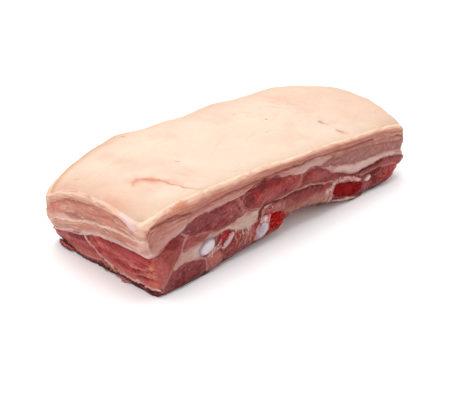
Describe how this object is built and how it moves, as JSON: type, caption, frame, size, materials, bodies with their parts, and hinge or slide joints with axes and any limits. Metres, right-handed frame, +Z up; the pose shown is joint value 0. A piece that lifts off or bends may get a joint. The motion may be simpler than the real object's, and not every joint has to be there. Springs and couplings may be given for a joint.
{
  "type": "pork belly slab",
  "caption": "Raw bone-in pork belly slab, rind up, its cut faces showing layers of fat and lean with sawn rib ends.",
  "frame": {"origin": "middle of the slab's bounding box, at the height of its flat underside", "axes": "+X along the slab towards its thinner right end, +Y back from the sawn rib face, +Z up through the rind"},
  "size_m": [0.2618, 0.111, 0.0612],
  "materials": {
    "rind_and_fat": "satin",
    "lean_streak": "moist",
    "belly_fat": "moist",
    "pale_muscle": "moist",
    "main_lean": "moist",
    "rib_fat": "moist",
    "rib_meat": "moist",
    "rib_bone": "sawn",
    "rib_cartilage": "sawn"
  },
  "bodies": {
    "root": {"rind_fat_cap": "rind_and_fat", "upper_lean_streak": "lean_streak", "middle_fat": "belly_fat", "pale_muscle_near": "pale_muscle", "pale_muscle_far": "pale_muscle", "main_lean": "main_lean", "rib_fat_seam": "rib_fat", "rib_meat": "rib_meat", "rib_cartilage_1": "rib_cartilage", "rib_cartilage_2": "rib_cartilage", "rib_cartilage_3": "rib_cartilage", "rib_cartilage_4": "rib_cartilage", "rib_bone_3": "rib_bone", "rib_bone_4": "rib_bone"}
  },
  "joints": []
}
